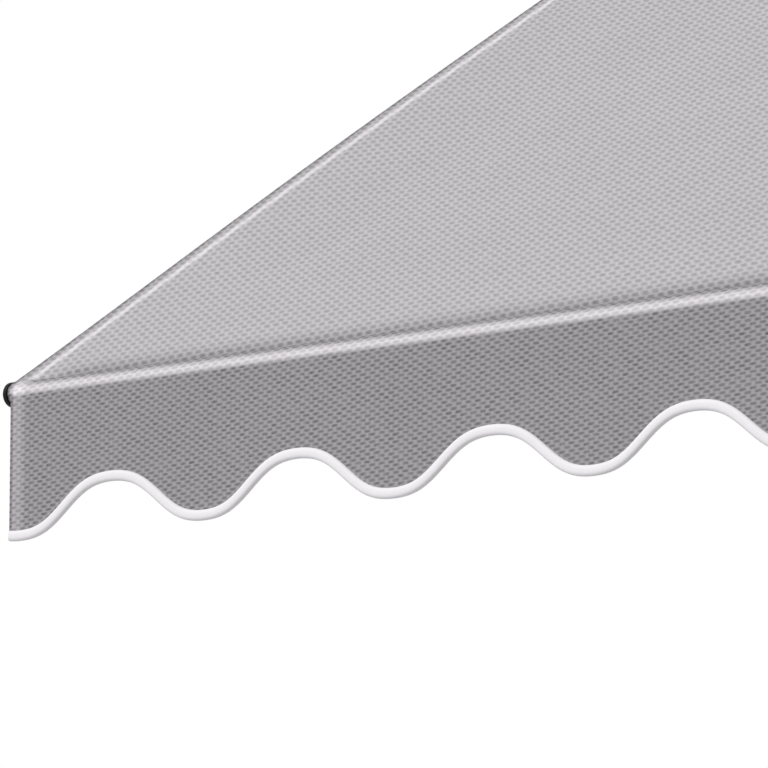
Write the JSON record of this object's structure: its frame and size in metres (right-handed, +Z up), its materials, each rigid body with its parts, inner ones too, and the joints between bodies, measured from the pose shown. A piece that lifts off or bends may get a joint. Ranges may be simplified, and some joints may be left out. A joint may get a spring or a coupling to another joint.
{
  "type": "clamp awning",
  "caption": "Folding-arm clamp awning on telescopic floor-to-ceiling posts, with a crank roller, grey woven cloth and a white-bound scalloped valance.",
  "frame": {"origin": "centre of the left foot's underside, on the floor", "axes": "+X to the right along the roller as seen from the front, +Y back towards the wall, +Z up; the cloth runs out towards -Y"},
  "size_m": [2.0683, 1.4592, 2.6006],
  "materials": {
    "cloth": "matte woven acrylic",
    "valance_cloth": "matte woven acrylic, a shade darker",
    "tape": "satin white binding tape",
    "coated_steel": "satin anthracite powder coat on steel",
    "coated_alloy": "satin anthracite powder coat on aluminium",
    "bare_alloy": "satin mill finish",
    "zinc_steel": "satin zinc plate",
    "black_plastic": "matte",
    "black_rubber": "matte"
  },
  "bodies": {
    "posts": {"left_lower_tube": "coated_steel", "left_foot": "black_rubber", "left_guide_bush": "black_plastic", "left_post_clamp": "coated_steel", "right_lower_tube": "coated_steel", "right_foot": "black_rubber", "right_guide_bush": "black_plastic", "right_post_clamp": "coated_steel", "crank_clip_upper": "black_plastic", "crank_clip_lower": "black_plastic", "crank_rod": "coated_steel"},
    "crank_grip": {"crank_grip": "black_plastic"},
    "awning": {"torsion_bar": "coated_steel", "gear_housing": "black_plastic", "canopy": "cloth", "left_bar_holder": "coated_steel", "left_tilt_bolt": "zinc_steel", "left_end_plate": "coated_steel", "left_shoulder_bracket": "coated_alloy", "right_bar_holder": "coated_steel", "right_tilt_bolt": "zinc_steel", "right_end_plate": "coated_steel", "right_shoulder_bracket": "coated_alloy"},
    "roller": {"roller_tube": "bare_alloy", "roller_idler_cap": "black_plastic", "roller_gear_cap": "black_plastic", "worm_wheel": "zinc_steel", "wound_cloth": "cloth"},
    "gear_eye": {"gear_eye": "zinc_steel"},
    "front_rail": {"front_tube": "coated_steel", "left_rail_cap": "black_plastic", "right_rail_cap": "black_plastic", "left_fist": "coated_alloy", "right_fist": "coated_alloy", "valance": "valance_cloth", "valance_binding": "tape"},
    "left_mast": {"left_upper_tube": "coated_steel"},
    "left_clamp_knob": {"left_clamp_knob": "black_plastic"},
    "left_jack_nut": {"left_jack_nut": "black_plastic"},
    "left_jack": {"left_jack_screw": "zinc_steel", "left_ceiling_pad": "black_rubber"},
    "left_upper_arm": {"left_shoulder_knuckle": "coated_alloy", "left_upper_arm": "coated_alloy", "left_arm_spring": "zinc_steel", "left_elbow_fork": "coated_alloy"},
    "left_forearm": {"left_elbow_tongue": "coated_alloy", "left_forearm": "coated_alloy", "left_wrist_knuckle": "coated_alloy"},
    "right_mast": {"right_upper_tube": "coated_steel"},
    "right_clamp_knob": {"right_clamp_knob": "black_plastic"},
    "right_jack_nut": {"right_jack_nut": "black_plastic"},
    "right_jack": {"right_jack_screw": "zinc_steel", "right_ceiling_pad": "black_rubber"},
    "right_upper_arm": {"right_shoulder_knuckle": "coated_alloy", "right_upper_arm": "coated_alloy", "right_arm_spring": "zinc_steel", "right_elbow_fork": "coated_alloy"},
    "right_forearm": {"right_elbow_tongue": "coated_alloy", "right_forearm": "coated_alloy", "right_wrist_knuckle": "coated_alloy"}
  },
  "joints": [
    {"name": "awning_tilt", "type": "hinge", "parent": "posts", "child": "awning", "pos_m": [0.74, -0.058, 2.13], "axis": [-1, 0, 0], "range_deg": [-10, 20]},
    {"name": "roller_turn", "type": "hinge", "parent": "awning", "child": "roller", "pos_m": [0.74, -0.112, 2.192], "axis": [-1, 0, 0], "range_deg": [0, 2500]},
    {"name": "gear_eye_turn", "type": "hinge", "parent": "awning", "child": "gear_eye", "pos_m": [1.7743, -0.091, 2.134], "axis": [0, 0, 1], "range_deg": [0, 17500]},
    {"name": "crank_grip_spin", "type": "hinge", "parent": "posts", "child": "crank_grip", "pos_m": [1.618, 0, 0.664], "axis": [0, 0, 1], "continuous": true},
    {"name": "left_shoulder", "type": "hinge", "parent": "awning", "child": "left_upper_arm", "pos_m": [-0.125, -0.16405, 2.13943], "axis": [0, -0.5299, 0.848], "range_deg": [0, 75.7], "deforming": ["canopy"]},
    {"name": "left_elbow", "type": "hinge", "parent": "left_upper_arm", "child": "left_forearm", "pos_m": [0.02214, -0.75111, 1.77259], "axis": [0, -0.5299, 0.848], "range_deg": [-151.4, 0]},
    {"name": "left_mast_slide", "type": "slide", "parent": "posts", "child": "left_mast", "axis": [0, 0, 1], "range_m": [-0.25, 0.4]},
    {"name": "left_clamp_knob_turn", "type": "hinge", "parent": "posts", "child": "left_clamp_knob", "pos_m": [-0.048, 0, 2.225], "axis": [-1, 0, 0], "range_deg": [0, 720]},
    {"name": "left_jack_nut_turn", "type": "hinge", "parent": "left_mast", "child": "left_jack_nut", "pos_m": [0, 0, 2.5493], "axis": [0, 0, 1], "range_deg": [-1081, 3601]},
    {"name": "left_jack_rise", "type": "slide", "parent": "left_mast", "child": "left_jack", "axis": [0, 0, 1], "range_m": [-0.012, 0.04]},
    {"name": "right_shoulder", "type": "hinge", "parent": "awning", "child": "right_upper_arm", "pos_m": [1.605, -0.16405, 2.13943], "axis": [0, -0.5299, 0.848], "range_deg": [-75.7, 0]},
    {"name": "right_elbow", "type": "hinge", "parent": "right_upper_arm", "child": "right_forearm", "pos_m": [1.45786, -0.75111, 1.77259], "axis": [0, -0.5299, 0.848], "range_deg": [0, 151.4]},
    {"name": "right_mast_slide", "type": "slide", "parent": "posts", "child": "right_mast", "axis": [0, 0, 1], "range_m": [-0.25, 0.4]},
    {"name": "right_clamp_knob_turn", "type": "hinge", "parent": "posts", "child": "right_clamp_knob", "pos_m": [1.528, 0, 2.225], "axis": [1, 0, 0], "range_deg": [0, 720]},
    {"name": "right_jack_nut_turn", "type": "hinge", "parent": "right_mast", "child": "right_jack_nut", "pos_m": [1.48, 0, 2.5493], "axis": [0, 0, 1], "range_deg": [-1081, 3601]},
    {"name": "right_jack_rise", "type": "slide", "parent": "right_mast", "child": "right_jack", "axis": [0, 0, 1], "range_m": [-0.012, 0.04]},
    {"name": "left_wrist", "type": "hinge", "parent": "left_forearm", "child": "front_rail", "pos_m": [-0.125, -1.33817, 1.40576], "axis": [0, -0.5299, 0.848], "range_deg": [0, 75.7]}
  ],
  "couplings": [
    {"joint": "roller_turn", "follows": "left_shoulder", "ratio": 33},
    {"joint": "gear_eye_turn", "follows": "left_shoulder", "ratio": 231},
    {"joint": "left_jack_nut_turn", "follows": "left_jack_rise", "rad_per_m": 1570.8},
    {"joint": "right_jack_nut_turn", "follows": "right_jack_rise", "rad_per_m": 1570.8},
    {"joint": "left_elbow", "follows": "left_shoulder", "ratio": -2},
    {"joint": "left_wrist", "follows": "left_shoulder", "ratio": 1},
    {"joint": "right_shoulder", "follows": "left_shoulder", "ratio": -1},
    {"joint": "right_elbow", "follows": "left_shoulder", "ratio": 2}
  ]
}
